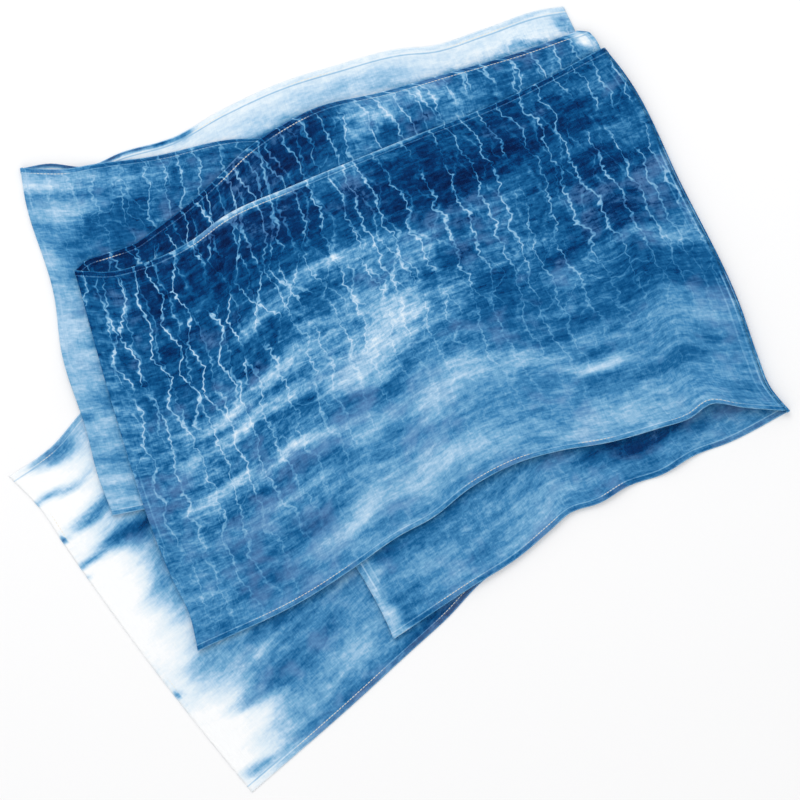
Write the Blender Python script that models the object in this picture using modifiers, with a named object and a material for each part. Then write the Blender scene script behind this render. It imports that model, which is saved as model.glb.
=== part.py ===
"""A hemmed length of sheer tie-dyed silk, folded back and forth into seven layers and laid flat.

Metres, +Z up. The cloth rests on z = 0, and the origin is under the middle of its footprint.
Its run starts at the free white end, turns over at six creases and stops at a hidden free end.
The cloth is one sheet: a grid whose rows follow the run and whose columns go from hem to hem.
"""

import math
from collections import namedtuple

import bmesh
import bpy
import numpy as np

MM = 0.001

CLOTH_WIDTH = 360
SHEET_THICKNESS = 1.0
LAYER_PITCH = 2.0
DRAPE_MARGIN = 12
DRAPE_REACH = 60
COLUMNS = 14
LOOP_STEPS = 4
OUTLINE_STEPS = 20

# A crease is where the cloth turns over, or a free end. x and y are its middle, lean is its
# direction from the lower hem to the upper one, and span is its length as a share of the width.
# Its bows are (share of the way down from the upper hem, millimetres away from the cloth).
Crease = namedtuple("Crease", "name x y lean span bows")
CREASES = (
    Crease("white_end", -242, -212, 127.6, 1.00, ((0.11, -4.5), (0.22, -2), (0.88, 1.5))),
    Crease("pleat_right", 24, 17, 127.0, 1.00, ()),
    Crease("pleat_left", -107, -68, 124.9, 1.00, ((0.80, -9), (0.92, -5))),
    Crease("right_fold", 269, 153, 117.1, 1.02,
           ((0.07, 5.5), (0.39, 6), (0.70, 4), (0.85, -3.5), (0.92, -6))),
    Crease("top_left_fold", -236, -55, 108.0, 1.00,
           ((0.37, 5), (0.63, 6), (0.82, 2), (0.90, -2.5))),
    Crease("inner_right_fold", 248, 162, 117.2, 1.06, ()),
    Crease("left_fold", -299, 52, 105.0, 0.90,
           ((0.08, 3), (0.37, 0.5), (0.52, 7), (0.76, 3.5), (0.88, 4))),
    Crease("hidden_end", 226, 192, 115.4, 1.00, ()),
)

# A panel is the cloth between one crease and the next. level is its place in the stack, from
# the surface up, and steps its rows. Its upper and lower hems bow away from their chords:
# (share of the way along the run, millimetres away from the cloth).
Panel = namedtuple("Panel", "name level steps upper lower")
PANELS = (
    Panel("tail", 0, 15, ((0.13, -4), (0.25, 3)),
          ((0.34, -0.5), (0.56, -3), (0.67, -4), (0.81, -8.5), (0.92, -3.5))),
    Panel("pleat", 1, 7, (), ()),
    Panel("underlay", 2, 20, (),
          ((0.20, -5.5), (0.33, -8), (0.42, -15), (0.47, -19), (0.54, -13.5), (0.61, -14),
           (0.69, -7.5), (0.77, -8), (0.85, -2.5))),
    Panel("top", 6, 26,
          ((0.21, -8), (0.40, -6.5), (0.59, -6), (0.73, -8), (0.79, -16), (0.89, -18), (0.94, -14)),
          ((0.07, -20), (0.11, -33), (0.15, -28), (0.20, -30), (0.28, -35), (0.36, -45),
           (0.42, -49), (0.51, -44), (0.58, -32), (0.64, -28), (0.73, -16), (0.81, -7))),
    Panel("second", 5, 24,
          ((0.12, -3), (0.20, 1), (0.30, 18), (0.42, 35), (0.52, 39), (0.63, 27), (0.76, 16),
           (0.88, 6)),
          ((0.19, -12), (0.27, -21), (0.36, -33), (0.42, -38), (0.49, -49), (0.58, -55),
           (0.64, -51), (0.72, -41), (0.80, -34), (0.88, -29), (0.95, -17))),
    Panel("third", 4, 22,
          ((0.12, -12), (0.37, -18), (0.57, -26), (0.63, -20), (0.77, -18), (0.88, -12),
           (0.92, -11)),
          ((0.10, -14), (0.25, -16), (0.50, -14), (0.90, -2))),
    Panel("fourth", 3, 24,
          ((0.05, -3), (0.11, -15), (0.18, -12), (0.27, -12.5), (0.37, -1), (0.49, 7.5),
           (0.58, 8), (0.70, 6), (0.76, 0), (0.85, 1), (0.96, 3)),
          ((0.10, -2), (0.50, -6))),
)

# A lift is a place where a panel and all above it stand off what is below: a loop that gapes
# at its end, or a hem that arches up. Places, radii and heights are in millimetres.
Lift = namedtuple("Lift", "panel x y radius height")
LIFTS = (
    Lift("third", -312, 208, 52, 5.0),
    Lift("top", 285, 0, 42, 6.0),
    Lift("top", 178, 312, 40, 4.0),
    Lift("top", -186, -210, 34, 2.5),
    Lift("underlay", 192, -84, 38, 3.5),
    Lift("underlay", 252, -56, 34, 3.0),
)

DYE_BLUE = (0.045, 0.17, 0.38, 1.0)
CLOTH_ROUGHNESS = 0.6


def clear_scene():
    for obj in list(bpy.data.objects):
        bpy.data.objects.remove(obj, do_unlink=True)


def bow(rows, share):
    """The smooth curve through a table of bows, with none at either end."""
    knots = np.array([0.0] + [row[0] for row in rows] + [1.0])
    sizes = np.array([0.0] + [row[1] for row in rows] + [0.0])
    slopes = np.gradient(sizes, knots) if len(rows) else np.zeros(2)
    place = np.clip(np.searchsorted(knots, share, side="right") - 1, 0, len(knots) - 2)
    gap = knots[place + 1] - knots[place]
    t = (share - knots[place]) / gap
    return (
        sizes[place] * (1 + 2 * t) * (1 - t) ** 2
        + slopes[place] * gap * t * (1 - t) ** 2
        + sizes[place + 1] * t * t * (3 - 2 * t)
        + slopes[place + 1] * gap * t * t * (t - 1)
    )


def away_from(start, end, other):
    """The unit normal of the line from start to end that points away from other."""
    run = end - start
    normal = np.array([-run[1], run[0]]) / np.hypot(*run)
    return normal if normal @ ((start + end) / 2 - other) > 0 else -normal


def crease_middle(crease):
    return np.array([crease.x, crease.y], float)


def crease_ends(crease):
    """The crease's ends at the upper and the lower hem."""
    lean = math.radians(crease.lean)
    half = np.array([math.cos(lean), math.sin(lean)]) * CLOTH_WIDTH * crease.span / 2
    return crease_middle(crease) + half, crease_middle(crease) - half


def crease_outward(number):
    upper, lower = crease_ends(CREASES[number])
    neighbour = number + 1 if number + 1 < len(CREASES) else number - 1
    return away_from(upper, lower, crease_middle(CREASES[neighbour]))


def crease_line(number, across):
    """Points of the crease, at these shares of the way from the upper hem to the lower one."""
    upper, lower = crease_ends(CREASES[number])
    chord = upper + np.multiply.outer(across, lower - upper)
    return chord + np.multiply.outer(bow(CREASES[number].bows, across), crease_outward(number))


def hem_line(number, upper, along):
    """Points of one hem of a panel, at these shares of the way along its run."""
    side = 0 if upper else 1
    start, end = (crease_ends(CREASES[number + step])[side] for step in (0, 1))
    middle = (crease_middle(CREASES[number]) + crease_middle(CREASES[number + 1])) / 2
    rows = PANELS[number].upper if upper else PANELS[number].lower
    chord = start + np.multiply.outer(along, end - start)
    return chord + np.multiply.outer(bow(rows, along), away_from(start, end, middle))


def panel_plan(number, along, across):
    """The panel seen from above: the sheet that its two creases and two hems bound."""
    s, t = along[:, None, None], across[None, :, None]
    upper, lower = (hem_line(number, side, along)[:, None] for side in (True, False))
    first, last = (crease_line(number + step, across)[None] for step in (0, 1))
    between_hems = (1 - t) * upper + t * lower
    between_creases = (1 - s) * first + s * last
    between_corners = (1 - s) * ((1 - t) * upper[:1] + t * lower[:1]) + s * (
        (1 - t) * upper[-1:] + t * lower[-1:]
    )
    return between_hems + between_creases - between_corners


def panel_outline(number):
    ways = np.linspace(0, 1, OUTLINE_STEPS, endpoint=False)
    return np.concatenate(
        [
            hem_line(number, True, ways),
            crease_line(number + 1, ways),
            hem_line(number, False, 1 - ways),
            crease_line(number, 1 - ways),
        ]
    )


def distance_outside(points, outline):
    """How far each point is outside a closed outline, and 0 inside it."""
    start, end = outline, np.roll(outline, -1, axis=0)
    side = end - start
    to_point = points[..., None, :] - start
    share = np.clip((to_point * side).sum(-1) / (side * side).sum(-1), 0, 1)
    distance = np.linalg.norm(to_point - share[..., None] * side, axis=-1).min(-1)
    x, y = points[..., 0, None], points[..., 1, None]
    spans = (start[:, 1] > y) != (end[:, 1] > y)
    rise = np.where(side[:, 1] == 0, 1, side[:, 1])
    crossed = spans & (x < start[:, 0] + (y - start[:, 1]) / rise * side[:, 0])
    return np.where(crossed.sum(-1) % 2 == 1, 0, distance)


def smooth_step(x):
    x = np.clip(x, 0, 1)
    return x * x * (3 - 2 * x)


def rest_height(number, plan):
    """The height of a panel's middle surface: it lies on the panels below it, where they are."""
    height = np.full(plan.shape[:-1], SHEET_THICKNESS / 2)
    for below, panel in enumerate(PANELS):
        if panel.level < PANELS[number].level:
            outside = distance_outside(plan, panel_outline(below))
            covered = 1 - smooth_step((outside - DRAPE_MARGIN) / DRAPE_REACH)
            height += LAYER_PITCH * covered
    levels = {panel.name: panel.level for panel in PANELS}
    for lift in LIFTS:
        if levels[lift.panel] <= PANELS[number].level:
            away = np.hypot(plan[..., 0] - lift.x, plan[..., 1] - lift.y)
            height += lift.height * (1 - smooth_step(away / lift.radius))
    return height


def loop_rows(number, across):
    """The rows that carry the cloth round a crease, and how far they stand out from it."""
    line = crease_line(number, across)
    before, after = (rest_height(number + step, line) for step in (-1, 0))
    radius = np.abs(after - before) / 2
    angles = np.linspace(-math.pi / 2, math.pi / 2, LOOP_STEPS + 1)[:, None]
    out = radius * (np.cos(angles) - 1)
    plan = line + out[..., None] * crease_outward(number)
    height = (before + after) / 2 + (after - before) / 2 * np.sin(angles)
    return np.concatenate([plan, height[..., None]], axis=-1)


def cloth_rows():
    """The whole run of the sheet's middle surface, as rows of points from hem to hem."""
    across = np.linspace(0, 1, COLUMNS + 1)
    last_panel = len(PANELS) - 1
    rows = []
    for number, panel in enumerate(PANELS):
        plan = panel_plan(number, np.linspace(0, 1, panel.steps + 1), across)
        surface = np.concatenate([plan, rest_height(number, plan)[..., None]], axis=-1)
        first = 0 if number == 0 else 1
        end = len(surface) if number == last_panel else len(surface) - 1
        rows.append(surface[first:end])
        if number < last_panel:
            rows.append(loop_rows(number + 1, across))
    return np.concatenate(rows)


def centred(rows):
    """The rows moved so that the origin is under the middle of the footprint."""
    low, high = (pick(rows[..., :2], axis=(0, 1)) for pick in (np.min, np.max))
    return rows - np.append((low + high) / 2, 0)


def dyed_silk():
    material = bpy.data.materials.new("dyed_silk")
    material.use_nodes = True
    shader = material.node_tree.nodes["Principled BSDF"]
    shader.inputs["Base Color"].default_value = DYE_BLUE
    shader.inputs["Roughness"].default_value = CLOTH_ROUGHNESS
    shader.inputs["Metallic"].default_value = 0.0
    return material


def make_cloth(collection):
    """One grid of the sheet's middle surface, thickened to a closed solid."""
    rows = centred(cloth_rows()) * MM
    along, across = rows.shape[0] - 1, rows.shape[1] - 1
    mesh = bpy.data.meshes.new("silk_cloth")
    grid = bmesh.new()
    bmesh.ops.create_grid(grid, x_segments=along, y_segments=across, size=0.5)
    for vertex in grid.verts:
        i = round((vertex.co.x + 0.5) * along)
        j = round((vertex.co.y + 0.5) * across)
        vertex.co = rows[i, j]
    grid.to_mesh(mesh)
    grid.free()
    mesh.shade_smooth()
    mesh.materials.append(dyed_silk())
    cloth = bpy.data.objects.new("silk_cloth", mesh)
    collection.objects.link(cloth)
    thickness = cloth.modifiers.new("thickness", "SOLIDIFY")
    thickness.thickness = SHEET_THICKNESS * MM
    thickness.offset = 0
    thickness.use_even_offset = True
    return cloth


def main():
    clear_scene()
    collection = bpy.data.collections.new("tie_dye_silk")
    bpy.context.scene.collection.children.link(collection)
    make_cloth(collection)


main()
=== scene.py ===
"""The looks of the folded tie-dyed silk: a thin sheet on the solid's folds, with its hems and dye.

Sizes are in millimetres until the mesh is made. The cloth has its own coordinates, in metres on
its map: u runs from the white end to the hidden end, and v from the upper hem to the lower one.
"""

import math
from collections import namedtuple

import bpy
import numpy as np
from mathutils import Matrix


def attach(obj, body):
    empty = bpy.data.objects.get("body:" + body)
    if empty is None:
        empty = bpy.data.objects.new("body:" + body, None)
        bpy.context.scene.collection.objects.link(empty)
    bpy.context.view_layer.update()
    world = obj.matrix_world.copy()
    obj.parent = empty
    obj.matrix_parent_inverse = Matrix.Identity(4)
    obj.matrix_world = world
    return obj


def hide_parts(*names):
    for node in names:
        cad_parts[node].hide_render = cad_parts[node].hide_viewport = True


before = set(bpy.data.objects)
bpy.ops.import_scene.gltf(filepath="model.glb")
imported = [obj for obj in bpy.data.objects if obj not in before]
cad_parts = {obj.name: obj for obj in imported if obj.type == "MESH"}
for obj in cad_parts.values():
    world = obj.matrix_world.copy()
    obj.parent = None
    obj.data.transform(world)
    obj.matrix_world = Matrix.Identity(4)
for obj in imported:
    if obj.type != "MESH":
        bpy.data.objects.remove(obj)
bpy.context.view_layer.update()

MM = 0.001

CLOTH_WIDTH = 360
SILK_THICKNESS = 0.35
HEM_THICKNESS = 1.0
HEM_WIDTH = 5.5

# A layer lies LAYER_PITCH above the one below it, up to DRAPE_MARGIN past that one's edge, and
# comes down to the floor over the next DRAPE_REACH.
LAYER_PITCH = 2.0
DRAPE_MARGIN = 12
DRAPE_REACH = 60

# The mesh: its rows along the run are close beside a crease, and its columns beside a hem.
ROW_STEP = 5.8
CREASE_ROWS = (0.0, 2.5, 5.5)
HEM_COLUMNS = (0.0, 1.5, 5.0, 6.2)
INNER_COLUMNS = 61
LOOP_STEPS = 8
OUTLINE_STEPS = 40

# A crease is where the cloth turns over, or a free end. x and y are its middle, lean is its
# direction from the lower hem to the upper one, and span is its length as a share of the width.
# Its bows are (share of the way down from the upper hem, millimetres away from the cloth).
Crease = namedtuple("Crease", "name x y lean span bows")
CREASES = (
    Crease("white_end", -242, -212, 127.6, 1.00, ((0.11, -4.5), (0.22, -2), (0.88, 1.5))),
    Crease("pleat_right", 24, 17, 127.0, 0.965, ()),
    Crease("pleat_left", -107, -68, 124.9, 1.00, ((0.80, -9), (0.92, -5))),
    Crease("right_fold", 269, 153, 117.1, 1.02,
           ((0.07, 5.5), (0.39, 6), (0.70, 4), (0.85, -3.5), (0.92, -6))),
    Crease("top_left_fold", -236, -55, 108.0, 1.00,
           ((0.37, 5), (0.63, 6), (0.82, 2), (0.90, -2.5))),
    Crease("inner_right_fold", 248, 162, 117.2, 1.06,
           ((0.012, 7.5), (0.045, 11.5), (0.08, 11), (0.14, 6), (0.28, 0))),
    Crease("left_fold", -299, 52, 105.0, 0.90,
           ((0.08, 3), (0.37, 0.5), (0.52, 7), (0.76, 3.5), (0.88, 4))),
    Crease("hidden_end", 226, 192, 115.4, 1.00, ()),
)

# A panel is the cloth between one crease and the next. level is its place in the stack, from
# the surface up. Its upper and lower hems bow away from their chords: (share of the way along
# the run, millimetres away from the cloth).
Panel = namedtuple("Panel", "name level upper lower")
PANELS = (
    Panel("tail", 0, ((0.13, -4), (0.25, 3)),
          ((0.34, 1.5), (0.56, 0.5), (0.67, 0.2), (0.81, -3.4), (0.92, 1))),
    Panel("pleat", 1, (), ()),
    Panel("underlay", 2, (),
          ((0.20, -5.5), (0.33, -8), (0.42, -15), (0.47, -19), (0.54, -13.5), (0.61, -14),
           (0.69, -7.5), (0.77, -8), (0.85, -2.5))),
    Panel("top", 6,
          ((0.21, -8), (0.40, -6.5), (0.59, -6), (0.73, -8), (0.79, -16), (0.89, -18), (0.94, -14)),
          ((0.07, -20), (0.11, -33), (0.15, -28), (0.20, -30), (0.28, -35), (0.36, -45),
           (0.42, -49), (0.51, -44), (0.58, -32), (0.64, -28), (0.73, -16), (0.81, -7))),
    Panel("second", 5,
          ((0.024, 4), (0.065, 2), (0.12, -1), (0.165, 3), (0.20, 6), (0.24, 11), (0.305, 21),
           (0.36, 31), (0.42, 37), (0.52, 39), (0.63, 27), (0.76, 16), (0.88, 6)),
          ((0.19, -12), (0.27, -21), (0.36, -33), (0.42, -38), (0.49, -49), (0.58, -55),
           (0.64, -51), (0.72, -41), (0.80, -34), (0.88, -29), (0.95, -17))),
    Panel("third", 4,
          ((0.12, -12), (0.37, -18), (0.57, -26), (0.63, -20), (0.77, -18), (0.88, -12),
           (0.92, -11)),
          ((0.10, -14), (0.25, -16), (0.50, -14), (0.90, -2))),
    Panel("fourth", 3,
          ((0.05, -3), (0.11, -15), (0.18, -12), (0.27, -12.5), (0.37, -1), (0.49, 7.5),
           (0.58, 8), (0.70, 6), (0.76, 0), (0.85, 1), (0.96, 3)),
          ((0.10, -2), (0.50, -6))),
)

# A lift is a place where a panel and all above it stand off what is below: a loop that gapes
# at its end, or a hem that arches up. Places, radii and heights are in millimetres.
Lift = namedtuple("Lift", "panel x y radius height")
LIFTS = (
    Lift("third", -312, 208, 52, 5.0),
    Lift("top", 285, 0, 42, 6.0),
    Lift("top", 178, 312, 40, 4.0),
    Lift("top", -186, -210, 34, 2.5),
    Lift("underlay", 192, -84, 38, 3.5),
    Lift("underlay", 252, -56, 34, 3.0),
)

# A ridge is a soft crease pressed into one panel and carried by all above it: a line from one
# place to another, with its width and height in millimetres. At either end it has RIDGE_END of
# its height.
RIDGE_END = 0.35
Ridge = namedtuple("Ridge", "panel x y to_x to_y width height")
RIDGES = (
    Ridge("tail", -120, -290, -60, -255, 5, 0.5),
    Ridge("tail", -215, -250, -90, -190, 7, 0.5),
    Ridge("underlay", -58, -229, -46, -256, 3.5, 0.7),
    Ridge("underlay", -46, -256, -38, -239, 3.5, 0.6),
    Ridge("underlay", -30, -205, 90, -150, 8, 0.6),
    Ridge("underlay", 120, -120, 235, -60, 8, 0.7),
    Ridge("third", -330, 120, -262, -95, 5, 0.6),
    Ridge("third", -322, 150, -300, 30, 4, 0.5),
    Ridge("third", -335, 190, -190, 165, 9, 0.6),
    Ridge("third", -300, 150, -170, 135, 8, 0.5),
    Ridge("fourth", -210, 235, -60, 292, 9, 0.6),
    Ridge("fourth", -40, 300, 140, 335, 10, 0.6),
    Ridge("second", -150, 180, 40, 262, 8, 0.5),
    Ridge("top", -180, -150, -60, -125, 8, 0.6),
    Ridge("top", -165, -185, 10, -95, 9, 0.7),
    Ridge("top", 30, -60, 190, -10, 10, 0.6),
    Ridge("top", 215, 240, 325, 20, 5, 0.7),
    Ridge("top", -250, 60, -190, -120, 7, 0.6),
    Ridge("top", -120, 95, 90, 170, 14, 0.5),
    Ridge("top", 230, 5, 330, -2, 9, 1.0),
)

# The broad dye, from 0, undyed, to 1, the darkest indigo. Each blot pulls it towards its own
# tone round one place: along and across are shares of the panel's run and width, length and
# width are the blot's half sizes in millimetres. Later blots lie over earlier ones. A blot's
# edge is as soft as BLOT_EDGE is low, past a crease it has BLOT_SPILL of its strength, and nearer
# than HEM_CALM to a hem it wavers less.
DYE_BASE = 0.65
BLOT_STRENGTH = 0.88
BLOT_EDGE = 2.6
BLOT_SPILL = 0.5
HEM_CALM = 25
Blot = namedtuple("Blot", "panel along across length width tone")
# a few blots below are painted shadow and painted highlight, each marked where it stands
BLOTS = (
    # the undyed end, with tongues of dye that reach into it
    Blot("tail", 0.45, 0.50, 180, 280, 0.42),
    Blot("tail", 0.00, 0.08, 84, 60, -0.12),
    Blot("tail", 0.00, 0.42, 62, 110, -0.14),
    Blot("tail", 0.004, 0.115, 5, 3, 0.80),
    Blot("tail", 0.004, 0.215, 4, 3, 0.70),
    Blot("tail", 0.004, 0.320, 4, 3, 0.70),
    Blot("tail", 0.004, 0.675, 4, 4, 0.90),
    Blot("tail", 0.004, 0.790, 4, 4, 0.80),
    Blot("tail", 0.00, 0.88, 64, 80, -0.14),
    Blot("tail", 0.15, 0.02, 20, 11, 0.58),
    Blot("tail", 0.08, 0.11, 28, 4, 0.44),
    Blot("tail", 0.13, 0.20, 32, 7, 0.56),
    Blot("tail", 0.17, 0.30, 26, 12, 0.88),
    Blot("tail", 0.05, 0.30, 26, 3, 0.55),
    Blot("tail", 0.18, 0.48, 18, 46, 0.42),
    Blot("tail", 0.13, 0.67, 22, 9, 0.44),
    Blot("tail", 0.38, 0.76, 76, 22, 0.50),
    # painted shadow under the underlay's hem
    Blot("tail", 0.36, 0.725, 50, 7, 0.70),
    Blot("tail", 0.20, 0.76, 20, 9, 0.36),
    Blot("tail", 0.15, 0.82, 24, 7, 0.48),
    Blot("tail", 0.29, 0.83, 40, 9, 0.58),
    Blot("tail", 0.12, 0.88, 40, 9, 0.02),
    Blot("tail", 0.46, 0.89, 38, 20, 0.40),
    Blot("tail", 0.07, 0.965, 17, 5, 0.50),
    Blot("tail", 0.17, 0.95, 7, 8, 0.40),
    Blot("tail", 0.35, 0.98, 60, 9, 0.58),
    Blot("tail", 0.68, 0.98, 50, 9, 0.78),
    # painted highlight along the crease between the pleat and the underlay
    Blot("pleat", 0.99, 0.93, 9, 70, 0.24),
    # the slate-blue underlay
    Blot("underlay", 0.50, 0.90, 340, 60, 0.50),
    Blot("underlay", 0.12, 0.80, 70, 12, 0.66),
    Blot("underlay", 0.14, 0.90, 34, 10, 0.42),
    Blot("underlay", 0.24, 0.87, 30, 10, 0.54),
    Blot("underlay", 0.15, 0.95, 34, 10, 0.42),
    Blot("underlay", 0.30, 0.97, 60, 6, 0.42),
    Blot("underlay", 0.45, 0.93, 54, 14, 0.38),
    Blot("underlay", 0.50, 0.85, 34, 6, 0.66),
    # painted shadow below the top's lower hem
    Blot("underlay", 0.67, 0.90, 60, 10, 0.88),
    Blot("underlay", 0.80, 0.96, 50, 8, 0.42),
    Blot("underlay", 0.92, 0.93, 22, 10, 0.62),
    # painted highlight along the crease between the pleat and the underlay
    Blot("underlay", 0.01, 0.93, 9, 70, 0.26),
    # the top: dark along its upper hem, pale clouds across its middle, grey-blue low down
    Blot("top", 0.50, 0.30, 330, 150, 0.67),
    Blot("top", 0.50, 0.95, 330, 62, 0.43),
    Blot("top", 0.50, 0.08, 290, 46, 0.84),
    Blot("top", 0.84, 0.16, 110, 62, 0.81),
    Blot("top", 0.94, 0.80, 44, 60, 0.48),
    Blot("top", 0.30, 0.16, 60, 20, 0.98),
    Blot("top", 0.16, 0.12, 26, 20, 0.88),
    Blot("top", 0.25, 0.05, 60, 16, 0.84),
    Blot("top", 0.05, 0.06, 26, 26, 0.63),
    Blot("top", 0.50, 0.04, 44, 12, 0.60),
    Blot("top", 0.54, 0.13, 44, 15, 0.80),
    Blot("top", 0.80, 0.07, 76, 24, 0.90),
    Blot("top", 0.97, 0.12, 18, 30, 0.69),
    # the upper hem's paler dye, with a painted highlight along its rolled edge
    Blot("top", 0.67, 0.004, 88, 4.5, 0.20),
    Blot("top", 0.42, 0.002, 80, 3, 0.42),
    Blot("top", 0.26, 0.28, 50, 14, 0.68),
    Blot("top", 0.34, 0.29, 26, 12, 0.72),
    Blot("top", 0.12, 0.27, 46, 22, 0.90),
    Blot("top", 0.15, 0.38, 44, 14, 0.86),
    Blot("top", 0.38, 0.36, 22, 20, 0.78),
    Blot("top", 0.10, 0.43, 22, 9, 0.88),
    Blot("top", 0.20, 0.44, 28, 8, 0.80),
    Blot("top", 0.36, 0.47, 30, 12, 0.82),
    Blot("top", 0.05, 0.52, 30, 13, 0.40),
    Blot("top", 0.22, 0.52, 34, 14, 0.46),
    Blot("top", 0.12, 0.61, 52, 9, 0.73),
    Blot("top", 0.26, 0.62, 30, 11, 0.62),
    Blot("top", 0.50, 0.27, 46, 14, 0.48),
    Blot("top", 0.43, 0.32, 22, 15, 0.41),
    Blot("top", 0.62, 0.25, 52, 11, 0.36),
    Blot("top", 0.73, 0.28, 32, 7, 0.32),
    Blot("top", 0.51, 0.39, 48, 12, 0.48),
    Blot("top", 0.54, 0.47, 70, 34, 0.32),
    Blot("top", 0.47, 0.53, 26, 10, 0.48),
    Blot("top", 0.59, 0.54, 38, 20, 0.23),
    Blot("top", 0.66, 0.49, 28, 11, 0.42),
    Blot("top", 0.42, 0.60, 42, 8, 0.56),
    Blot("top", 0.55, 0.60, 34, 5, 0.60),
    Blot("top", 0.75, 0.37, 38, 17, 0.80),
    Blot("top", 0.89, 0.35, 42, 24, 0.76),
    Blot("top", 0.71, 0.44, 32, 7, 0.24),
    Blot("top", 0.81, 0.465, 42, 6, 0.28),
    Blot("top", 0.76, 0.515, 44, 8, 0.28),
    Blot("top", 0.89, 0.53, 30, 7, 0.36),
    Blot("top", 0.94, 0.47, 22, 12, 0.62),
    Blot("top", 0.975, 0.38, 16, 55, 0.57),
    Blot("top", 0.69, 0.60, 34, 12, 0.50),
    Blot("top", 0.84, 0.59, 42, 8, 0.60),
    Blot("top", 0.72, 0.65, 52, 9, 0.24),
    Blot("top", 0.86, 0.645, 32, 8, 0.28),
    Blot("top", 0.48, 0.70, 66, 26, 0.32),
    Blot("top", 0.35, 0.72, 40, 14, 0.38),
    Blot("top", 0.62, 0.69, 32, 13, 0.34),
    Blot("top", 0.08, 0.72, 48, 24, 0.40),
    Blot("top", 0.23, 0.70, 40, 12, 0.47),
    Blot("top", 0.25, 0.775, 34, 6, 0.20),
    Blot("top", 0.31, 0.81, 46, 5, 0.60),
    Blot("top", 0.31, 0.91, 36, 9, 0.55),
    Blot("top", 0.13, 0.83, 32, 8, 0.68),
    Blot("top", 0.24, 0.825, 24, 6, 0.64),
    Blot("top", 0.56, 0.75, 24, 10, 0.56),
    Blot("top", 0.78, 0.76, 70, 14, 0.44),
    Blot("top", 0.73, 0.835, 27, 7, 0.68),
    Blot("top", 0.52, 0.88, 52, 20, 0.29),
    Blot("top", 0.68, 0.90, 52, 9, 0.26),
    Blot("top", 0.86, 0.91, 21, 12, 0.63),
    Blot("top", 0.20, 0.92, 80, 22, 0.38),
    Blot("top", 0.38, 0.93, 13, 14, 0.50),
    # the bands that show above it, from the darkest to the white one
    Blot("second", 0.20, 0.05, 150, 40, 0.95),
    Blot("second", 0.42, 0.07, 50, 28, 0.90),
    Blot("second", 0.57, 0.06, 28, 20, 0.38),
    Blot("second", 0.66, 0.03, 46, 9, 0.40),
    Blot("second", 0.64, 0.12, 32, 7, 0.88),
    Blot("second", 0.86, 0.05, 70, 22, 0.65),
    Blot("second", 0.985, 0.03, 9, 12, -0.10),
    Blot("third", 0.80, 0.12, 150, 64, 0.87),
    Blot("third", 0.67, 0.09, 92, 44, 0.95),
    Blot("third", 0.86, 0.05, 44, 12, 0.76),
    Blot("third", 0.95, 0.13, 36, 11, 0.34),
    Blot("third", 0.96, 0.045, 44, 9, 0.33),
    Blot("third", 0.86, 0.195, 48, 13, 0.88),
    Blot("third", 0.90, 0.26, 30, 10, 0.72),
    Blot("third", 0.985, 0.25, 20, 16, 0.34),
    Blot("third", 0.98, 0.56, 34, 100, 0.24),
    Blot("third", 0.98, 0.90, 34, 60, 0.30),
    Blot("third", 0.98, 0.72, 9, 4, 0.66),
    Blot("third", 0.97, 0.85, 16, 8, 0.52),
    Blot("third", 0.97, 0.97, 24, 7, 0.36),
    Blot("fourth", 0.50, 0.05, 620, 80, 0.03),
    Blot("fourth", 0.56, 0.065, 140, 14, 0.30),
    Blot("fourth", 0.44, 0.11, 44, 7, 0.70),
    Blot("fourth", 0.82, 0.088, 100, 4, 0.60),
    Blot("fourth", 0.05, 0.000, 44, 2.4, 1.00),
    Blot("fourth", 0.165, 0.004, 12, 2.6, 0.80),
    Blot("fourth", 0.210, 0.004, 13, 2.6, 0.84),
    Blot("fourth", 0.255, 0.006, 12, 3, 0.78),
    Blot("fourth", 0.300, 0.010, 13, 3, 0.70),
    Blot("fourth", 0.99, 0.05, 8, 12, 0.48),
)

# How strongly the jagged resist lines show, from 0 to 1, in the same way. Through the range
# CROSSED a second family of lines comes in and crosses the first.
LINES_BASE = 0.12
LINES = (
    Blot("top", 0.55, 0.14, 290, 135, 0.82),
    Blot("top", 0.14, 0.24, 120, 120, 0.78),
    Blot("top", 0.86, 0.26, 110, 130, 1.00),
    Blot("top", 0.84, 0.60, 90, 60, 0.66),
    Blot("top", 0.48, 0.36, 80, 60, 0.80),
    Blot("top", 0.34, 0.64, 80, 44, 0.36),
    Blot("top", 0.90, 0.85, 60, 50, 0.36),
    Blot("second", 0.25, 0.06, 180, 50, 1.00),
    Blot("second", 0.75, 0.06, 160, 50, 0.90),
    Blot("third", 0.74, 0.10, 90, 50, 0.70),
    Blot("third", 0.92, 0.06, 40, 20, 0.36),
    Blot("fourth", 0.90, 0.08, 70, 14, 0.60),
    Blot("tail", 0.10, 0.60, 110, 220, 0.0),
)

# A soft noise is kept on the cloth's points: the length and width of its marks in millimetres,
# its size and its seed. Silk with a dye of DYED or more takes all of the unevenness.
SoftNoise = namedtuple("SoftNoise", "length width size seed")
UNEVEN_DYE = SoftNoise(110, 24, 0.14, 1)
LINE_DRIFT = SoftNoise(60, 75, 0.5, 2)
WEAR = SoftNoise(36, 30, 0.5, 3)
DYED = 0.45

# A grain is a noise in the shader: the length and width of its marks in millimetres, its own
# shift along the run, its detail and roughness, and its weight. The first five are the dye's. JAG
# bends the jagged lines, with its weight in metres, and NET draws the loops between them.
Grain = namedtuple("Grain", "length width shift detail roughness weight", defaults=(1.0,))
STREAKS = Grain(36, 8, 7.3, 2, 0.58, 0.50)
CLOUDS = Grain(18, 15, 4.1, 1, 0.6, 0.30)
SPECKS = Grain(5.4, 2.6, 3.1, 1, 0.65, 0.30)
WARP = Grain(9, 1.15, 3.3, 0, 0.6, 0.07)
WEFT = Grain(1.15, 8, 6.6, 0, 0.6, 0.09)
JAG = Grain(4.5, 4.2, 1.7, 0, 0.6, 5.0 * MM)
NET = Grain(22, 25, 1.1, 0, 0.6)

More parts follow.
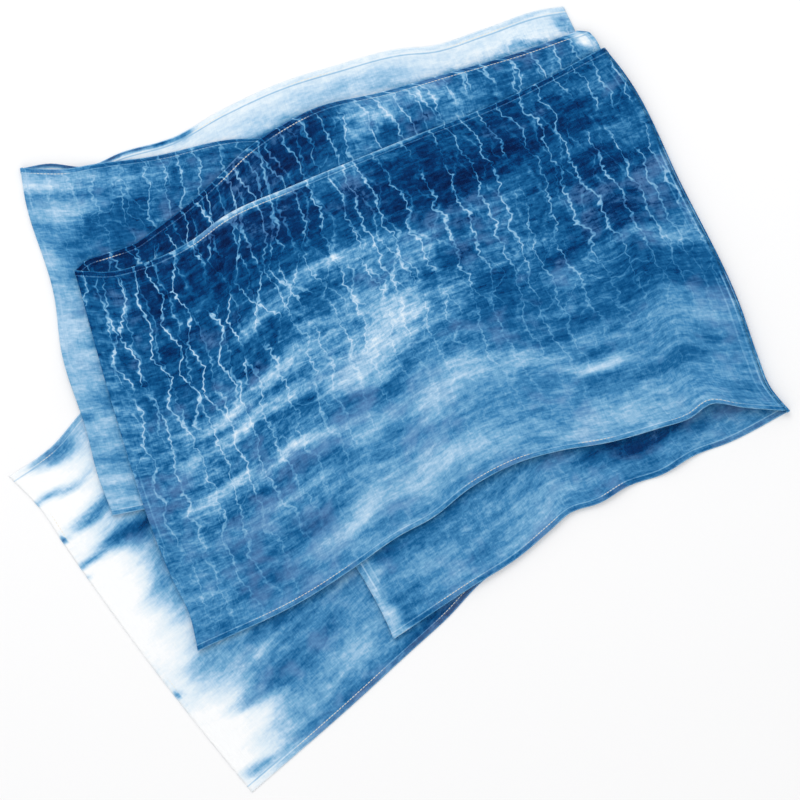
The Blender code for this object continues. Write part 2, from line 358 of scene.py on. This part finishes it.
# A family of jagged lines: their spacing and their step in millimetres, how far they sway in
# spacings, their seed, and the share of their bends that goes to and fro. LINE_OFFSET is in
# spacings too, and LINE_STAGGER in steps from one line to the next. A line drifts by up to a
# quarter of LINE_REACH along the run, and the second family's steps by a quarter of STEP_REACH
# across it, in millimetres. A line is whole up to LINE_EDGE's first value, in millimetres from
# its middle, and gone at the second.
Family = namedtuple("Family", "spacing step sway seed zigzag")
FIRST_LINES = Family(20, 11, 0.45, 1.5, 0.0)
SECOND_LINES = Family(19, 27, 0.95, 4.5, 0.65)
LINE_OFFSET = 0.334
LINE_STAGGER = 0.618
LINE_REACH = 30
STEP_REACH = 70
LINE_EDGE = (0.3, 1.7)
CROSSED = (0.60, 0.90)
HALO_REACH = 9.0
GAP_SHADE = 0.09

# The lines along a hem or a crease, by their distance from it in millimetres; the nearer of the two
# beside a crease is a painted highlight. STITCH_PITCH is one stitch with its gap.
STITCH_LINE = 5.0
STITCH_PITCH = 3.2
SEAM_LINE = 6.6
CREASE_HIGHLIGHT_LINE = 3.2
PRESSED_LINE = 9.0

# The photograph's frame: the camera looks straight down from far up, and the picture's 800
# pixels take in FRAME_SIDE, in metres. The frame's middle is a little off the footprint's.
FRAME_SIDE = 0.720
FRAME_MIDDLE = (0.0009, -0.0004)
CAMERA_LENS = 100
SENSOR = 36

# The studio, in metres and watts. The floor is almost level with the underside of the lowest hem.
FLOOR_SIDE = 8.0
FLOOR_DROP = 0.0003
FLOOR_COLOUR = (0.85, 0.85, 0.855, 1)
SKY_STRENGTH = 0.98
LAMP_SIZE = 1.6
LAMP_POWER = 17
LAMP_PLACE = (-0.5, 1.5, 1.9)

# The colours, in display values: the ramp from undyed silk to the darkest indigo, the grey of
# its faded patches, and the cream of its stitches.
INDIGO = (
    (0.00, (253, 254, 255)),
    (0.12, (227, 240, 249)),
    (0.25, (178, 211, 236)),
    (0.38, (120, 176, 214)),
    (0.50, (70, 139, 189)),
    (0.62, (27, 101, 156)),
    (0.74, (2, 75, 130)),
    (0.86, (0, 50, 103)),
    (1.00, (0, 27, 72)),
)
GREYED = (112, 144, 190)
THREAD = (240, 230, 206)


def bow(rows, share):
    """The smooth curve through a table of bows, with none at either end."""
    knots = np.array([0.0] + [row[0] for row in rows] + [1.0])
    sizes = np.array([0.0] + [row[1] for row in rows] + [0.0])
    slopes = np.gradient(sizes, knots) if len(rows) else np.zeros(2)
    place = np.clip(np.searchsorted(knots, share, side="right") - 1, 0, len(knots) - 2)
    gap = knots[place + 1] - knots[place]
    t = (share - knots[place]) / gap
    return (
        sizes[place] * (1 + 2 * t) * (1 - t) ** 2
        + slopes[place] * gap * t * (1 - t) ** 2
        + sizes[place + 1] * t * t * (3 - 2 * t)
        + slopes[place + 1] * gap * t * t * (t - 1)
    )


def away_from(start, end, other):
    """The unit normal of the line from start to end that points away from other."""
    run = end - start
    normal = np.array([-run[1], run[0]]) / np.hypot(*run)
    return normal if normal @ ((start + end) / 2 - other) > 0 else -normal


def crease_middle(crease):
    return np.array([crease.x, crease.y], float)


def crease_ends(crease):
    """The crease's ends at the upper and the lower hem."""
    lean = math.radians(crease.lean)
    half = np.array([math.cos(lean), math.sin(lean)]) * CLOTH_WIDTH * crease.span / 2
    return crease_middle(crease) + half, crease_middle(crease) - half


def crease_outward(number):
    upper, lower = crease_ends(CREASES[number])
    neighbour = number + 1 if number + 1 < len(CREASES) else number - 1
    return away_from(upper, lower, crease_middle(CREASES[neighbour]))


def crease_line(number, across):
    """Points of the crease, at these shares of the way from the upper hem to the lower one."""
    upper, lower = crease_ends(CREASES[number])
    chord = upper + np.multiply.outer(across, lower - upper)
    return chord + np.multiply.outer(bow(CREASES[number].bows, across), crease_outward(number))


def hem_line(number, upper, along):
    """Points of one hem of a panel, at these shares of the way along its run."""
    side = 0 if upper else 1
    start, end = (crease_ends(CREASES[number + step])[side] for step in (0, 1))
    middle = (crease_middle(CREASES[number]) + crease_middle(CREASES[number + 1])) / 2
    rows = PANELS[number].upper if upper else PANELS[number].lower
    chord = start + np.multiply.outer(along, end - start)
    return chord + np.multiply.outer(bow(rows, along), away_from(start, end, middle))


def panel_plan(number, along, across):
    """The panel seen from above: the sheet that its two creases and two hems bound."""
    s, t = along[:, None, None], across[None, :, None]
    upper, lower = (hem_line(number, side, along)[:, None] for side in (True, False))
    first, last = (crease_line(number + step, across)[None] for step in (0, 1))
    between_hems = (1 - t) * upper + t * lower
    between_creases = (1 - s) * first + s * last
    between_corners = (1 - s) * ((1 - t) * upper[:1] + t * lower[:1]) + s * (
        (1 - t) * upper[-1:] + t * lower[-1:]
    )
    return between_hems + between_creases - between_corners


def panel_outline(number):
    ways = np.linspace(0, 1, OUTLINE_STEPS, endpoint=False)
    return np.concatenate(
        [
            hem_line(number, True, ways),
            crease_line(number + 1, ways),
            hem_line(number, False, 1 - ways),
            crease_line(number, 1 - ways),
        ]
    )


def distance_outside(points, outline):
    """How far each point is outside a closed outline, and 0 inside it."""
    start, end = outline, np.roll(outline, -1, axis=0)
    side = end - start
    to_point = points[..., None, :] - start
    share = np.clip((to_point * side).sum(-1) / (side * side).sum(-1), 0, 1)
    distance = np.linalg.norm(to_point - share[..., None] * side, axis=-1).min(-1)
    x, y = points[..., 0, None], points[..., 1, None]
    spans = (start[:, 1] > y) != (end[:, 1] > y)
    rise = np.where(side[:, 1] == 0, 1, side[:, 1])
    crossed = spans & (x < start[:, 0] + (y - start[:, 1]) / rise * side[:, 0])
    return np.where(crossed.sum(-1) % 2 == 1, 0, distance)


def smooth_step(x):
    x = np.clip(x, 0, 1)
    return x * x * (3 - 2 * x)


def ridge_height(ridge, plan):
    """A soft ridge round a line: highest at its middle, and gone a little past its ends."""
    start = np.array([ridge.x, ridge.y], float)
    side = np.array([ridge.to_x, ridge.to_y]) - start
    share = np.clip((plan - start) @ side / (side @ side), 0, 1)
    away = np.linalg.norm(plan - start - share[..., None] * side, axis=-1)
    rise = RIDGE_END + (1 - RIDGE_END) * np.sin(math.pi * share)
    return ridge.height * np.exp(-((away / ridge.width) ** 2)) * rise


def rest_height(number, plan):
    """The height of a panel's middle surface: it lies on the panels below it, where they are."""
    height = np.full(plan.shape[:-1], SILK_THICKNESS / 2)
    for below, panel in enumerate(PANELS):
        if panel.level < PANELS[number].level:
            outside = distance_outside(plan, panel_outline(below))
            covered = 1 - smooth_step((outside - DRAPE_MARGIN) / DRAPE_REACH)
            height += LAYER_PITCH * covered
    levels = {panel.name: panel.level for panel in PANELS}
    for lift in LIFTS:
        if levels[lift.panel] <= PANELS[number].level:
            away = np.hypot(plan[..., 0] - lift.x, plan[..., 1] - lift.y)
            height += lift.height * (1 - smooth_step(away / lift.radius))
    for ridge in RIDGES:
        if levels[ridge.panel] <= PANELS[number].level:
            height += ridge_height(ridge, plan)
    return height


def loop_rows(number, across):
    """The rows that carry the cloth round a crease, and how far they stand out from it."""
    line = crease_line(number, across)
    before, after = (rest_height(number + step, line) for step in (-1, 0))
    radius = np.abs(after - before) / 2
    angles = np.linspace(-math.pi / 2, math.pi / 2, LOOP_STEPS + 1)[:, None]
    out = radius * (np.cos(angles) - 1)
    plan = line + out[..., None] * crease_outward(number)
    height = (before + after) / 2 + (after - before) / 2 * np.sin(angles)
    return np.concatenate([plan, height[..., None]], axis=-1)


def spaced(length, edge, count):
    """Shares of a length: at the edge's places from either end, and evenly between them."""
    near = np.array(edge) / length
    inner = np.linspace(near[-1], 1 - near[-1], count)
    return np.concatenate([near[:-1], inner, 1 - near[-2::-1]])


def cloth_rows(across):
    """The sheet's middle surface as rows of points, and the row at which each panel starts."""
    last_panel = len(PANELS) - 1
    rows, starts, count = [], [], 0
    for number in range(len(PANELS)):
        run = np.hypot(*(crease_middle(CREASES[number + 1]) - crease_middle(CREASES[number])))
        along = spaced(run, CREASE_ROWS, round(run / ROW_STEP))
        plan = panel_plan(number, along, across)
        surface = np.concatenate([plan, rest_height(number, plan)[..., None]], axis=-1)
        first = 0 if number == 0 else 1
        end = len(surface) if number == last_panel else len(surface) - 1
        starts.append(count)
        rows.append(surface[first:end])
        count += end - first
        if number < last_panel:
            rows.append(loop_rows(number + 1, across))
            count += LOOP_STEPS + 1
    return np.concatenate(rows), starts


def run_lengths(rows):
    """How far along the run each row is, as the mean over the width."""
    steps = np.linalg.norm(np.diff(rows, axis=0), axis=-1).mean(-1)
    return np.concatenate([[0], np.cumsum(steps)])


def painted(u, v, panel_ends, blots, base):
    """The value at each point of the cloth, once every blot has pulled it towards its own."""
    value = np.full(u.shape, base)
    names = [panel.name for panel in PANELS]
    # the edges of the blots waver, by up to 11 mm along the run and 6 mm across it
    bent_u = u + 7 * np.sin(v / 13 + 2 * np.sin(u / 61)) + 4 * np.sin(v / 5.1 + u / 37)
    bend = 4 * np.sin(u / 29 + 2 * np.sin(v / 47)) + 2 * np.sin(u / 11 + v / 23)
    bent_v = v + bend * smooth_step(np.minimum(v, CLOTH_WIDTH - v) / HEM_CALM)
    for blot in blots:
        number = names.index(blot.panel)
        start, end = panel_ends[number], panel_ends[number + 1]
        along = (bent_u - start - blot.along * (end - start)) / blot.length
        across = (bent_v - blot.across * CLOTH_WIDTH) / blot.width
        pull = BLOT_STRENGTH * np.exp(-np.hypot(along, across) ** BLOT_EDGE)
        pull = np.where((u >= start) & (u <= end), pull, pull * BLOT_SPILL)
        value += pull * (blot.tone - value)
    return value


def soft_noise(u, v, noise):
    """A smooth noise about 0 at each point of the cloth."""
    shape = int(u.max() / noise.length) + 2, int(v.max() / noise.width) + 2
    knots = np.random.default_rng(noise.seed).random(shape) - 0.5
    i, j = (u / noise.length).astype(int), (v / noise.width).astype(int)
    s, t = smooth_step(u / noise.length - i), smooth_step(v / noise.width - j)
    before = knots[i, j] * (1 - s) + knots[i + 1, j] * s
    after = knots[i, j + 1] * (1 - s) + knots[i + 1, j + 1] * s
    return noise.size * (before * (1 - t) + after * t)


def add_attribute(mesh, name, values):
    attribute = mesh.attributes.new(name, "FLOAT", "POINT")
    attribute.data.foreach_set("value", values.astype(np.float32).ravel())


def make_cloth(material):
    across = spaced(CLOTH_WIDTH, HEM_COLUMNS, INNER_COLUMNS)
    rows, starts = cloth_rows(across)
    run = run_lengths(rows)
    low, high = (pick(rows[..., :2], axis=(0, 1)) for pick in (np.min, np.max))
    rows = rows - np.append((low + high) / 2, 0)
    height, width = rows.shape[:2]
    u = np.repeat(run[:, None], width, axis=1)
    v = np.repeat(across[None] * CLOTH_WIDTH, height, axis=0)
    panel_ends = [run[start] for start in starts] + [run[-1]]

    index = np.arange(height * width).reshape(height, width)
    corners = (index[:-1, :-1], index[1:, :-1], index[1:, 1:], index[:-1, 1:])
    quads = np.stack([corner.ravel() for corner in corners], axis=-1)
    mesh = bpy.data.meshes.new("silk")
    mesh.from_pydata((rows.reshape(-1, 3) * MM).tolist(), [], quads.tolist())
    mesh.shade_smooth()
    mesh.materials.append(material)

    loops = np.empty(len(mesh.loops), np.int32)
    mesh.loops.foreach_get("vertex_index", loops)
    cloth_map = np.stack([u.ravel(), v.ravel()], axis=-1)[loops] * MM
    mesh.uv_layers.new(name="cloth").data.foreach_set("uv", cloth_map.astype(np.float32).ravel())
    # the dye attribute also holds the blots that are painted shadow and painted highlight
    dye = painted(u, v, panel_ends, BLOTS, DYE_BASE)
    dye += soft_noise(u, v, UNEVEN_DYE) * smooth_step(dye / DYED)
    add_attribute(mesh, "dye", dye)
    add_attribute(mesh, "lines", painted(u, v, panel_ends, LINES, LINES_BASE))
    add_attribute(mesh, "fold", np.abs(u[..., None] - panel_ends[1:-1]).min(-1))
    add_attribute(mesh, "drift", soft_noise(u, v, LINE_DRIFT))
    add_attribute(mesh, "wear", soft_noise(u, v, WEAR))

    cloth = bpy.data.objects.new("silk", mesh)
    bpy.context.scene.collection.objects.link(cloth)
    edge = np.minimum.reduce([v, CLOTH_WIDTH - v, u, run[-1] - u])
    hem = cloth.vertex_groups.new(name="hem")
    hem.add([int(i) for i in np.flatnonzero(edge.ravel() < HEM_WIDTH)], 1.0, "REPLACE")
    shell = cloth.modifiers.new("thickness", "SOLIDIFY")
    shell.thickness = HEM_THICKNESS * MM
    shell.offset = 0
    shell.vertex_group = "hem"
    shell.thickness_vertex_group = SILK_THICKNESS / HEM_THICKNESS
    return cloth, run[-1]


class Nodes:
    """Short calls that add shader nodes and link them."""

    def __init__(self, material):
        self.tree = material.node_tree

    def add(self, kind, **settings):
        node = self.tree.nodes.new(kind)
        for name, value in settings.items():
            setattr(node, name, value)
        return node

    def put(self, socket, value):
        if isinstance(value, bpy.types.NodeSocket):
            self.tree.links.new(value, socket)
        else:
            socket.default_value = value

    def math(self, operation, a, b=0.0, clamp=False):
        node = self.add("ShaderNodeMath", operation=operation, use_clamp=clamp)
        self.put(node.inputs[0], a)
        self.put(node.inputs[1], b)
        return node.outputs[0]

    def band(self, value, low, high, to_low=0.0, to_high=1.0):
        node = self.add("ShaderNodeMapRange", interpolation_type="SMOOTHSTEP")
        for name, given in (("Value", value), ("From Min", low), ("From Max", high),
                            ("To Min", to_low), ("To Max", to_high)):
            self.put(node.inputs[name], given)
        return node.outputs[0]

    def stretched(self, u, v, along, across, shift):
        """The cloth map divided by a length along the run and one across it, in millimetres."""
        x = self.math("MULTIPLY_ADD", u, 1 / (along * MM))
        x.node.inputs[2].default_value = shift
        node = self.add("ShaderNodeCombineXYZ")
        self.put(node.inputs[0], x)
        self.put(node.inputs[1], self.math("MULTIPLY", v, 1 / (across * MM)))
        return node.outputs[0]

    def noise(self, u, v, grain):
        """A noise about 0, from -0.5 to 0.5."""
        node = self.add("ShaderNodeTexNoise", noise_dimensions="2D")
        place = self.stretched(u, v, grain.length, grain.width, grain.shift)
        self.put(node.inputs["Vector"], place)
        node.inputs["Scale"].default_value = 1.0
        node.inputs["Detail"].default_value = grain.detail
        node.inputs["Roughness"].default_value = grain.roughness
        return self.math("SUBTRACT", node.outputs["Fac"], 0.5)

    def chance(self, x, y, seed):
        """A random number from 0 to 1 for each whole x and y."""
        place = self.add("ShaderNodeCombineXYZ")
        self.put(place.inputs[0], x)
        self.put(place.inputs[1], y)
        place.inputs[2].default_value = seed
        node = self.add("ShaderNodeTexWhiteNoise", noise_dimensions="3D")
        self.put(node.inputs["Vector"], place.outputs[0])
        return node.outputs["Value"]

    def near(self, value, place, inner, outer, height=1.0):
        """The height where the value is within inner of the place, and 0 from outer on."""
        away = self.math("ABSOLUTE", self.math("SUBTRACT", value, place))
        return self.band(away, inner, outer, height, 0.0)

    def jagged_lines(self, u, v, family):
        """The distance, in millimetres, to the nearest of a family of bent lines, and the gap.

        The lines run across the cloth. Each stands up to half of LINE_OFFSET off its place, and
        bends at every step by up to sway. The share zigzag of the bends goes to and fro, so that
        neighbours meet and part. The gap numbers the space between two lines.
        """
        spacing, step, sway, seed, zigzag = family
        x = self.math("MULTIPLY", u, 1 / (spacing * MM))
        line = self.math("FLOOR", x)
        y = self.math("MULTIPLY_ADD", line, 0.0 if zigzag else LINE_STAGGER)
        self.put(y.node.inputs[2], self.math("MULTIPLY", v, 1 / (step * MM)))
        knot = self.math("FLOOR", y)
        here = self.chance(line, knot, seed)
        bend = self.math("SUBTRACT", self.chance(line, self.math("ADD", knot, 1.0), seed), here)
        if zigzag:
            fro = self.math("FLOORED_MODULO", self.math("ADD", line, knot), 2.0)
            here = self.summed(0.0, (here, 1 - zigzag), (fro, zigzag))
            bend = self.summed(zigzag, (bend, 1 - zigzag), (fro, -2 * zigzag))
        place = self.math("MULTIPLY_ADD", bend, self.math("SUBTRACT", y, knot))
        self.put(place.node.inputs[2], here)
        own = self.chance(line, -7.0, seed)
        base = 0.5 - (sway + LINE_OFFSET) / 2
        middle = self.summed(base, (place, sway), (own, LINE_OFFSET))
        away = self.math("SUBTRACT", self.math("SUBTRACT", x, line), middle)
        gap = self.math("ADD", line, self.math("GREATER_THAN", away, 0.0))
        slope = self.math("MULTIPLY", bend, sway * spacing / step)
        longer = self.math("SQRT", self.math("MULTIPLY_ADD", slope, slope))
        longer.node.inputs[2].default_value = 1.0
        away = self.math("MULTIPLY", self.math("ABSOLUTE", away), spacing)
        return self.math("DIVIDE", away, longer), gap

    def mix(self, share, a, b):
        node = self.add("ShaderNodeMix", data_type="RGBA")
        self.put(node.inputs[0], share)
        self.put(node.inputs[6], a)
        self.put(node.inputs[7], b)
        return node.outputs[2]

    def summed(self, first, *terms):
        """The first value plus every (value, weight) after it."""
        total = first
        for value, weight in terms:
            term = self.math("MULTIPLY_ADD", value, weight)
            self.put(term.node.inputs[2], total)
            total = term
        return total


def linear(colour):
    """The linear colour, with alpha, of a colour in display values up to 255."""
    shares = [c / 255 for c in colour]
    return [c / 12.92 if c <= 0.04045 else ((c + 0.055) / 1.055) ** 2.4 for c in shares] + [1.0]


def streaked_dye(n, u, v, dye, strength):
    """The dye with its streaks along the run, its clouds, its specks and its crossed threads."""
    grains = STREAKS, CLOUDS, SPECKS, WARP, WEFT
    noises = [n.noise(u, v, grain) for grain in grains]
    spread = n.summed(0.0, *((noise, grain.weight) for noise, grain in zip(noises, grains)))
    calm = n.math(
        "MULTIPLY", n.band(dye, 0.0, DYED, 0.35, 1.0), n.band(strength, 0.1, 0.6, 0.62, 0.9)
    )
    spread = n.math("MULTIPLY", spread, calm)
    _, clouds, _, _, weft = noises
    return n.math("ADD", dye, spread), weft, clouds


def resist_lines(n, u, v, strength, drift, wear, clouds):
    """How much of the dye the jagged lines kept out, their soft surround, and each gap's shade."""
    bent = n.summed(u, (n.noise(u, v, JAG), JAG.weight), (drift, LINE_REACH * MM))
    width = n.band(wear, -0.2, 0.2, 0.8, 1.35)
    first, gap = n.jagged_lines(bent, v, FIRST_LINES)
    second, _ = n.jagged_lines(bent, n.summed(v, (drift, STEP_REACH * MM)), SECOND_LINES)
    first, second = (n.math("DIVIDE", line, width) for line in (first, second))
    crossing = n.math("MULTIPLY", n.band(second, *LINE_EDGE, 1.0, 0.0), n.band(strength, *CROSSED))
    lines = n.band(first, *LINE_EDGE, 1.0, 0.0)
    lines = n.math("MULTIPLY", lines, n.band(strength, 0.70, 0.92, 1.0, 0.45))
    lines = n.math("MAXIMUM", lines, crossing)

    # the lines are beaded by the clouds and break up where the cloth is least worn
    lines = n.math("MULTIPLY", lines, n.band(clouds, -0.25, 0.08, 0.55, 1.0))
    lines = n.math("MULTIPLY", lines, n.band(wear, -0.24, -0.10))

    # a net of fine loops shows where the lines are weak
    loops = n.near(n.noise(bent, v, NET), 0.0, 0.0, 0.035, 0.70)
    loops = n.math("MULTIPLY", loops, n.band(wear, 0.16, -0.08))
    lines = n.math("MAXIMUM", lines, n.math("MULTIPLY", loops, n.band(strength, 0.80, 0.45)))
    lines = n.math("MULTIPLY", lines, strength)

    beside = n.band(n.math("MINIMUM", first, second), 0.0, HALO_REACH, 1.0, 0.0)
    mottle = n.summed(0.05, (clouds, 0.9))
    halo = n.math("MULTIPLY", n.math("MULTIPLY", beside, strength), mottle)
    shade = n.math("SUBTRACT", n.chance(gap, 0.0, 2.5), 0.5)
    return lines, halo, n.math("MULTIPLY", shade, n.band(strength, 0.25, 0.70))


def dyed_silk():
    material = bpy.data.materials.new("dyed_silk")
    material.use_nodes = True
    shader = material.node_tree.nodes["Principled BSDF"]
    n = Nodes(material)
    split = n.add("ShaderNodeSeparateXYZ")
    n.put(split.inputs[0], n.add("ShaderNodeUVMap", uv_map="cloth").outputs["UV"])
    u, v = split.outputs[0], split.outputs[1]
    dye, strength, fold, drift, wear = (
        n.add("ShaderNodeAttribute", attribute_name=name).outputs["Fac"]
        for name in ("dye", "lines", "fold", "drift", "wear")
    )

    tone, weave, clouds = streaked_dye(n, u, v, dye, strength)
    lines, halo, shade = resist_lines(n, u, v, strength, drift, wear, clouds)
    tone = n.summed(tone, (halo, -1.0), (shade, GAP_SHADE))
    resisted = n.summed(0.05, (tone, 0.30))
    kept = n.math("MULTIPLY", lines, 1.08, clamp=True)
    tone = n.summed(tone, (n.math("SUBTRACT", resisted, tone), kept))

    side = n.math("MINIMUM", v, n.math("SUBTRACT", CLOTH_WIDTH * MM, v))
    side = n.math("MULTIPLY", side, 1 / MM)
    end = n.math("MULTIPLY", u, 1 / MM)
    edge = n.math("MINIMUM", side, end)

    # pale lines: a painted highlight along the hem's rolled edge, partly the paleness of its last
    # thread, the hem's seam, a painted highlight beside each crease, and the fold pressed beside it
    hem_highlight_and_seam = n.band(edge, 0.5, 1.3, 1.0, 0.0)
    hem_highlight_and_seam = n.math("MAXIMUM", hem_highlight_and_seam, n.near(side, STITCH_LINE, 0.2, 0.8, 0.7))
    pressed = n.near(fold, PRESSED_LINE, 0.3, 1.2, 0.5)
    crease_highlight_and_pressed_line = n.math("MAXIMUM", n.near(fold, CREASE_HIGHLIGHT_LINE, 0.3, 1.1), pressed)
    # these crease lines, the painted highlight among them, come and go with the wear noise
    crease_highlight_and_pressed_line = n.math("MULTIPLY", crease_highlight_and_pressed_line, n.band(wear, -0.12, 0.12, 0.0, 0.35))
    light = n.math("MAXIMUM", n.math("MULTIPLY", hem_highlight_and_seam, 0.30), crease_highlight_and_pressed_line)
    tone = n.math("MULTIPLY", tone, n.math("SUBTRACT", 1.0, light))

    # on undyed silk the doubled hem, its seam and a pressed fold are a little darker instead
    doubled = n.band(edge, 4.4, 5.2, 0.05, 0.0)
    tone = n.math("ADD", tone, n.math("MULTIPLY", doubled, n.band(tone, 0.0, 0.3)))
    seam = n.near(side, SEAM_LINE, 0.3, 1.0, 0.16)
    seam = n.math("MAXIMUM", seam, n.math("MULTIPLY", pressed, 0.22))
    tone = n.math("ADD", tone, n.math("MULTIPLY", seam, n.band(tone, 0.35, 0.1)))

    ramp = n.add("ShaderNodeValToRGB")
    n.put(ramp.inputs[0], n.math("ADD", tone, 0.0, clamp=True))
    stops = ramp.color_ramp.elements
    while len(stops) < len(INDIGO):
        stops.new(1.0)
    for stop, (place, colour) in zip(stops, INDIGO):
        stop.position = place
        stop.color = linear(colour)
    greyed = n.band(n.summed(wear, (clouds, -0.6)), 0.02, 0.34, 0.0, 0.38)
    greyed = n.math("MULTIPLY", greyed, n.band(tone, 0.22, 0.45))
    greyed = n.math("MULTIPLY", greyed, n.band(tone, 0.62, 0.85, 1.0, 0.0))
    colour = n.mix(greyed, ramp.outputs["Color"], linear(GREYED))

    threads = []
    for distance, way in ((side, u), (end, v)):
        pitch = n.math("FRACT", n.math("MULTIPLY", way, 1 / (STITCH_PITCH * MM)))
        dash = n.near(pitch, 0.5, 0.26, 0.40)
        threads.append(n.math("MULTIPLY", dash, n.near(distance, STITCH_LINE, 0.18, 0.50)))
    stitches = n.math("MAXIMUM", *threads)
    shown = n.band(wear, 0.02, 0.16, 0.05, 0.75)
    colour = n.mix(n.math("MULTIPLY", stitches, shown), colour, linear(THREAD))
    n.put(shader.inputs["Base Color"], colour)
    shader.inputs["Roughness"].default_value = 0.5
    shader.inputs["Sheen Weight"].default_value = 0.12
    shader.inputs["Sheen Tint"].default_value = (0.2, 0.6, 1.0, 1)
    shader.inputs["Sheen Roughness"].default_value = 0.4
    shader.inputs["Specular IOR Level"].default_value = 0.04
    shader.inputs["Alpha"].default_value = 0.80

    bump = n.add("ShaderNodeBump")
    bump.inputs["Strength"].default_value = 0.35
    bump.inputs["Distance"].default_value = 0.3 * MM
    n.put(bump.inputs["Height"], weave)
    n.put(shader.inputs["Normal"], bump.outputs["Normal"])
    return material


def pale_floor():
    material = bpy.data.materials.new("pale_floor")
    material.use_nodes = True
    shader = material.node_tree.nodes["Principled BSDF"]
    shader.inputs["Base Color"].default_value = FLOOR_COLOUR
    shader.inputs["Roughness"].default_value = 0.9
    shader.inputs["Specular IOR Level"].default_value = 0.1
    bpy.ops.mesh.primitive_plane_add(size=FLOOR_SIDE, location=(0, 0, -FLOOR_DROP))
    floor = bpy.context.object
    floor.name = "floor"
    floor.data.materials.append(material)
    return floor


def soft_light():
    world = bpy.data.worlds.new("studio")
    bpy.context.scene.world = world
    world.use_nodes = True
    background = world.node_tree.nodes["Background"]
    background.inputs["Color"].default_value = (1, 1, 1, 1)
    background.inputs["Strength"].default_value = SKY_STRENGTH
    lamp = bpy.data.lights.new("softbox", "AREA")
    lamp.shape = "DISK"
    lamp.size = LAMP_SIZE
    lamp.energy = LAMP_POWER
    box = bpy.data.objects.new("softbox", lamp)
    bpy.context.scene.collection.objects.link(box)
    box.location = LAMP_PLACE
    box.rotation_euler = box.location.to_track_quat("Z", "Y").to_euler()


def look_down():
    data = bpy.data.cameras.new("camera")
    data.lens = CAMERA_LENS
    data.sensor_width = SENSOR
    camera = bpy.data.objects.new("camera", data)
    bpy.context.scene.collection.objects.link(camera)
    height = FRAME_SIDE * CAMERA_LENS / SENSOR + LAYER_PITCH * 3 * MM
    camera.location = (*FRAME_MIDDLE, height)
    bpy.context.scene.camera = camera


silk, run_length = make_cloth(dyed_silk())
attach(silk, "root")
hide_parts("silk_cloth")
floor = pale_floor()
soft_light()
look_down()
bpy.context.scene.view_settings.view_transform = "Standard"
